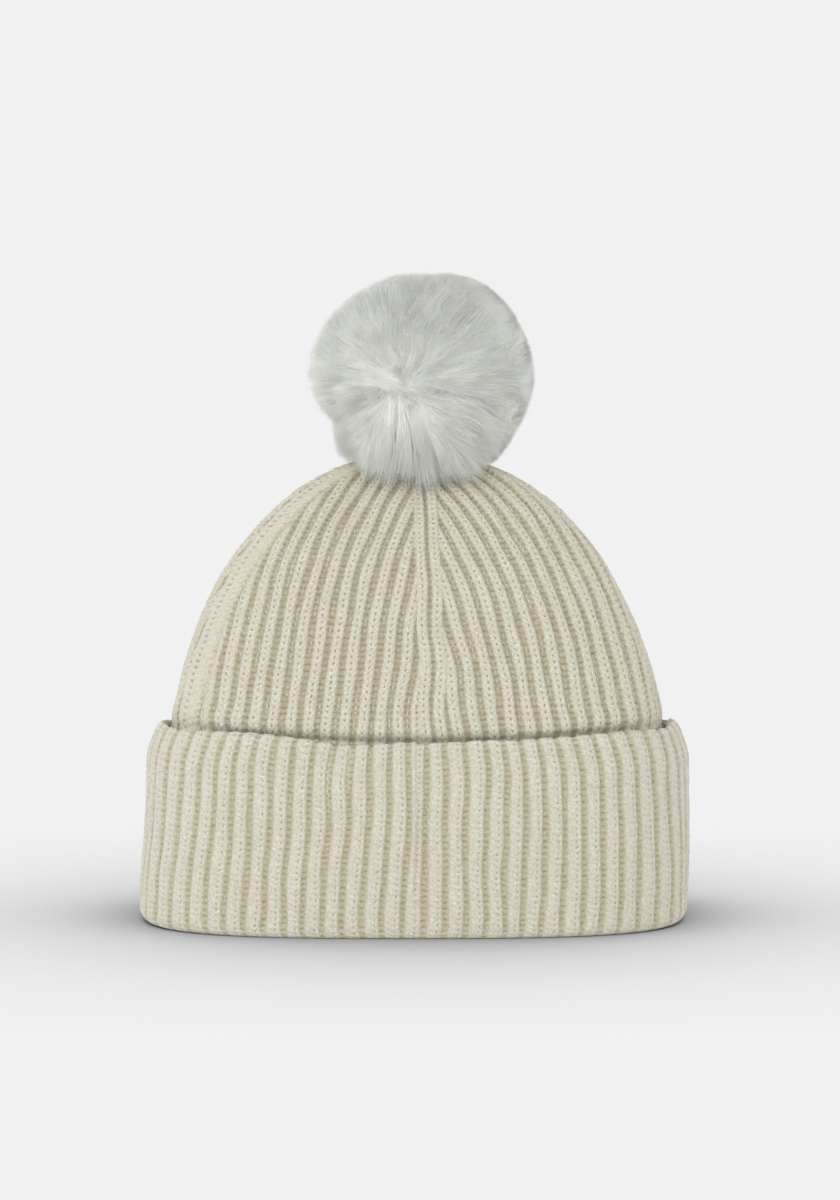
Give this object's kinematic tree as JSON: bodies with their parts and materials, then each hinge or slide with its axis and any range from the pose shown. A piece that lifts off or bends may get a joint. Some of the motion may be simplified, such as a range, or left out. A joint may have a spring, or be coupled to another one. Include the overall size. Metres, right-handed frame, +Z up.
{
  "type": "pom pom beanie",
  "caption": "Rib-knit winter hat with a deep turned-up cuff and a faux-fur pom on a press stud, upright and open below.",
  "frame": {"origin": "centre of the cuff's flat base, on the surface that the hat stands on", "axes": "+Z up through the pom, -Y out of the front, X across the hat's width"},
  "size_m": [0.23, 0.17, 0.2725],
  "materials": {
    "rib_knit": "matte cream rib knit",
    "rib_knit_reverse": "matte cream rib knit, reverse side",
    "seam_thread": "matte linked yarn",
    "label_satin": "woven satin, blank",
    "gather_yarn": "matte twisted yarn",
    "felt": "matte felt",
    "nickel": "satin nickel",
    "base_plastic": "satin white plastic",
    "pom_backing": "matte knitted pile backing",
    "stuffing": "loose polyester fibre",
    "faux_fur": "soft cool white faux-fur pile"
  },
  "bodies": {
    "hat": {"crown_shell": "rib_knit", "turn_up_cuff": "rib_knit_reverse", "back_seam": "seam_thread", "care_label": "label_satin", "crown_gather_yarn": "gather_yarn", "crown_patch": "felt"},
    "snap_stud_body": {"snap_post": "nickel", "snap_stud": "nickel"},
    "snap_socket_body": {"snap_socket": "nickel", "snap_spring": "nickel", "pom_base_disc": "base_plastic", "snap_cap": "nickel"},
    "pom_neck": {"pom_gather_thread": "gather_yarn"},
    "pom": {"pom_backing": "pom_backing", "pom_stuffing": "stuffing", "pom_fur": "faux_fur"}
  },
  "joints": [
    {"name": "pom_spin", "type": "hinge", "parent": "hat", "child": "snap_stud_body", "pos_m": [0, 0, 0.195], "axis": [0, 0, 1], "continuous": true},
    {"name": "pom_pull_off", "type": "slide", "parent": "snap_stud_body", "child": "snap_socket_body", "axis": [0, 0, 1], "range_m": [0, 0.03]},
    {"name": "pom_nod", "type": "hinge", "parent": "snap_socket_body", "child": "pom_neck", "pos_m": [0, 0, 0.206], "axis": [1, 0, 0], "range_deg": [-12, 12], "stiffness_Nm_per_rad": 0.12},
    {"name": "pom_sway", "type": "hinge", "parent": "pom_neck", "child": "pom", "pos_m": [0, 0, 0.206], "axis": [0, 1, 0], "range_deg": [-12, 12], "stiffness_Nm_per_rad": 0.12}
  ]
}
